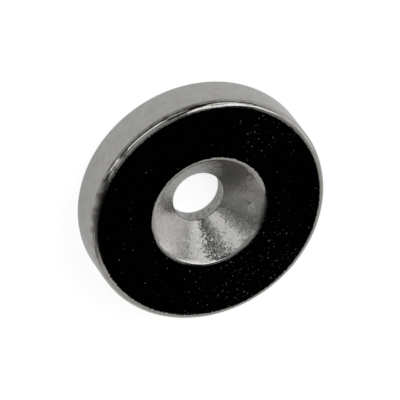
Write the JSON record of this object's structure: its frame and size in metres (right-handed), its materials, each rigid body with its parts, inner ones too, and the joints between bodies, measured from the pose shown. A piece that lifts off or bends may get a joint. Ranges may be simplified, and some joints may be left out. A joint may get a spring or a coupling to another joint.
{
  "type": "countersunk ring magnet",
  "caption": "Flat round ring magnet with a central screw hole, a conical countersunk seat in its front face and tumbled, bright-plated edges.",
  "frame": {"origin": "centre of the flat back face, on the ring's axis", "axes": "+Z along the ring's axis, out through the countersunk front face; the ring is round, so X and Y are free"},
  "size_m": [0.02, 0.02, 0.004],
  "materials": {
    "nickel_plating": "satin"
  },
  "bodies": {
    "root": {"ring_magnet": "nickel_plating"}
  },
  "joints": []
}
